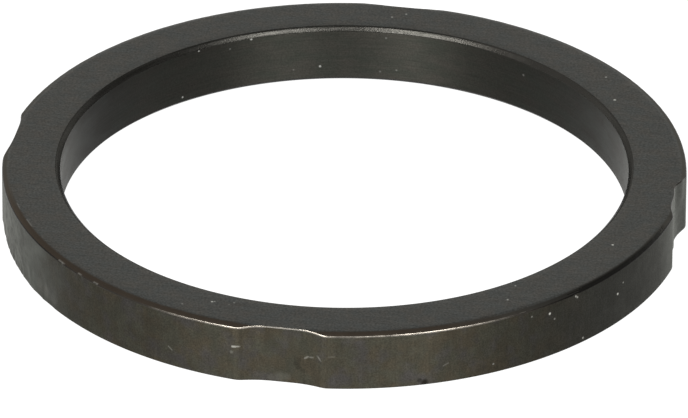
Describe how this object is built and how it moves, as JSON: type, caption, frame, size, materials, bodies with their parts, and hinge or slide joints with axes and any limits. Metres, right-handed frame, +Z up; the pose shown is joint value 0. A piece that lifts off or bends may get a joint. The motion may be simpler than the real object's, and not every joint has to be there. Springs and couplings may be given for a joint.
{
  "type": "washer",
  "caption": "Flat steel ring washer with a wide chamfered bore, a bevelled upper rim and shallow scalloped rim notches, used as a spacer or thrust ring on a shaft.",
  "frame": {"origin": "centre of the lower face, on the bore axis", "axes": "+Z up along the bore axis towards the bevelled face, with a rim notch facing +X"},
  "size_m": [0.0992, 0.0992, 0.009],
  "materials": {
    "blackened_steel": "satin black oxide over fine machining, worn bright along the rim edge"
  },
  "bodies": {
    "root": {"washer": "blackened_steel"}
  },
  "joints": []
}
